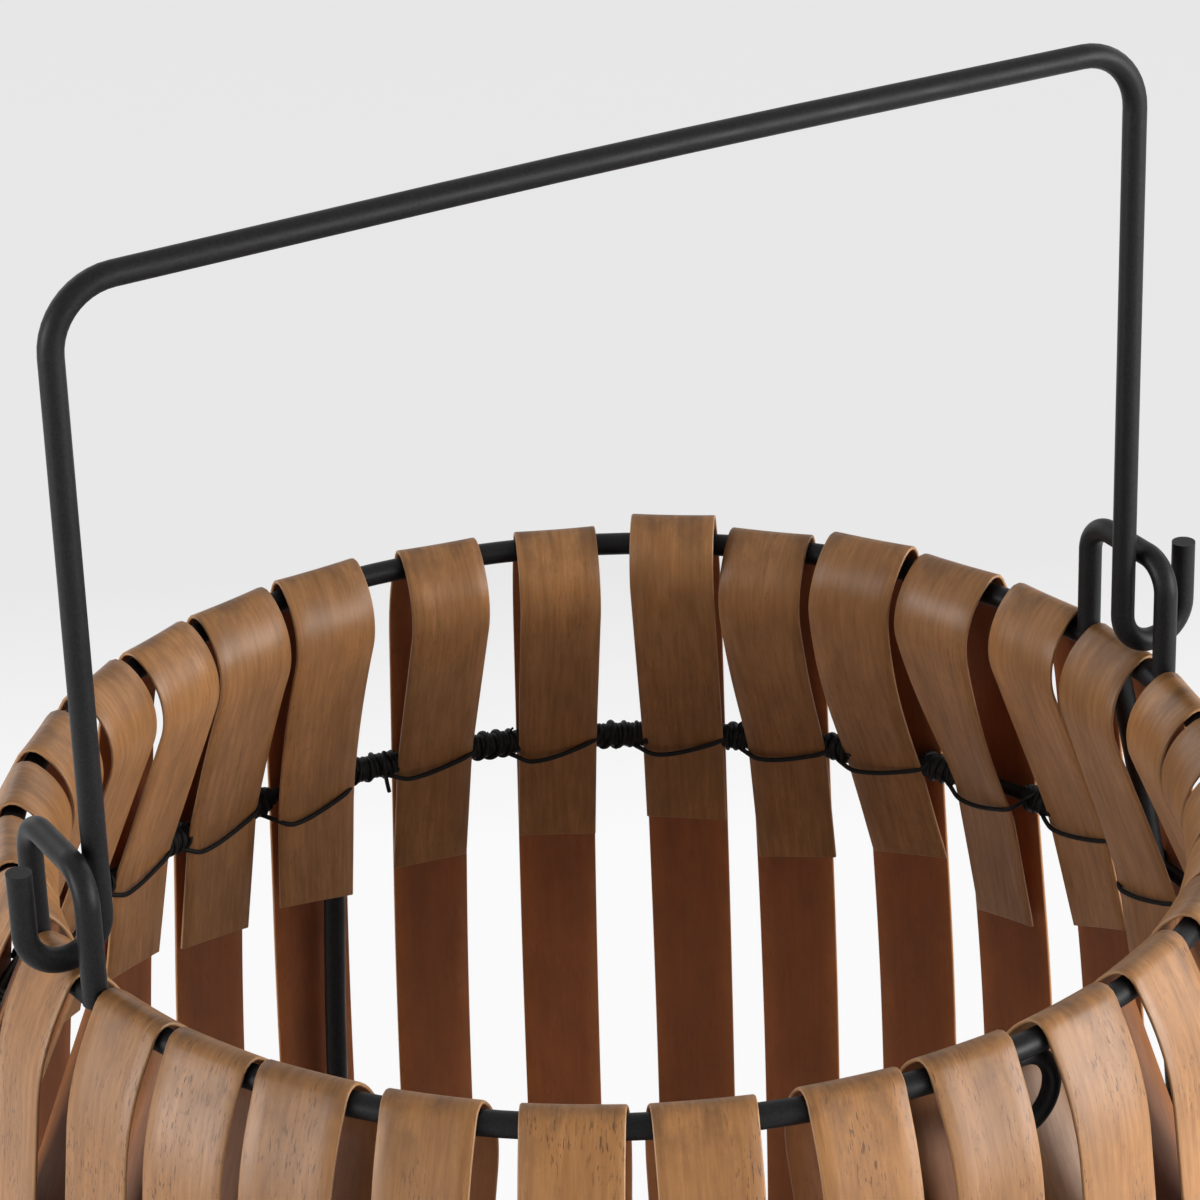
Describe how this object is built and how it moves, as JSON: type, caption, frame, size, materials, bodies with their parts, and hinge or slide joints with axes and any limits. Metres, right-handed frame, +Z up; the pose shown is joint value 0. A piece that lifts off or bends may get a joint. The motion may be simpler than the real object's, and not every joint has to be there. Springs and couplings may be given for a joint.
{
  "type": "candle lantern",
  "caption": "Barrel-shaped candle lantern of bent wood strips folded over a wire frame, with a swinging wire bail hooked in eyes, and a lift-out glass cylinder with a pillar candle.",
  "frame": {"origin": "middle of the underside of the base plate, on the ground", "axes": "+Z up, +X through the two bail eyes, -Y the side nearer the camera"},
  "size_m": [0.3291, 0.3292, 0.5632],
  "materials": {
    "black_wire": "satin black powder coat",
    "tie_wire": "dark annealed binding wire",
    "wood_strip": "satin veneer with fine lengthwise flecks",
    "base_sheet": "satin black powder coat",
    "clear_glass": "clear",
    "wax": "smooth ivory wax",
    "wick_cord": "braided cotton"
  },
  "bodies": {
    "frame": {"top_ring": "black_wire", "upper_tie_ring": "black_wire", "lower_tie_ring": "black_wire", "bottom_ring": "black_wire", "upright_right": "black_wire", "upright_back": "black_wire", "upright_left": "black_wire", "upright_front": "black_wire", "strip_01": "wood_strip", "strip_02": "wood_strip", "strip_03": "wood_strip", "strip_04": "wood_strip", "strip_05": "wood_strip", "strip_06": "wood_strip", "strip_07": "wood_strip", "strip_08": "wood_strip", "strip_09": "wood_strip", "strip_10": "wood_strip", "strip_11": "wood_strip", "strip_12": "wood_strip", "strip_13": "wood_strip", "strip_14": "wood_strip", "strip_15": "wood_strip", "strip_16": "wood_strip", "strip_17": "wood_strip", "strip_18": "wood_strip", "strip_19": "wood_strip", "strip_20": "wood_strip", "strip_21": "wood_strip", "strip_22": "wood_strip", "strip_23": "wood_strip", "strip_24": "wood_strip", "strip_25": "wood_strip", "strip_26": "wood_strip", "strip_27": "wood_strip", "strip_28": "wood_strip", "strip_29": "wood_strip", "strip_30": "wood_strip", "strip_31": "wood_strip", "strip_32": "wood_strip", "upper_wire_ties": "tie_wire", "lower_wire_ties": "tie_wire", "eye_right": "black_wire", "eye_left": "black_wire", "curled_eyelet": "black_wire", "base_plate": "base_sheet"},
    "bail": {"bail_handle": "black_wire"},
    "glass": {"glass_cylinder": "clear_glass"},
    "candle": {"pillar_candle": "wax", "wick": "wick_cord"}
  },
  "joints": [
    {"name": "bail_hinge", "type": "hinge", "parent": "frame", "child": "bail", "pos_m": [0, -0.0102, 0.41209], "axis": [1, 0, 0], "range_deg": [-85, 85]},
    {"name": "glass_lift", "type": "slide", "parent": "frame", "child": "glass", "axis": [0, 0, 1], "range_m": [0, 0.3]},
    {"name": "candle_lift", "type": "slide", "parent": "glass", "child": "candle", "axis": [0, 0, 1], "range_m": [0, 0.2]}
  ]
}
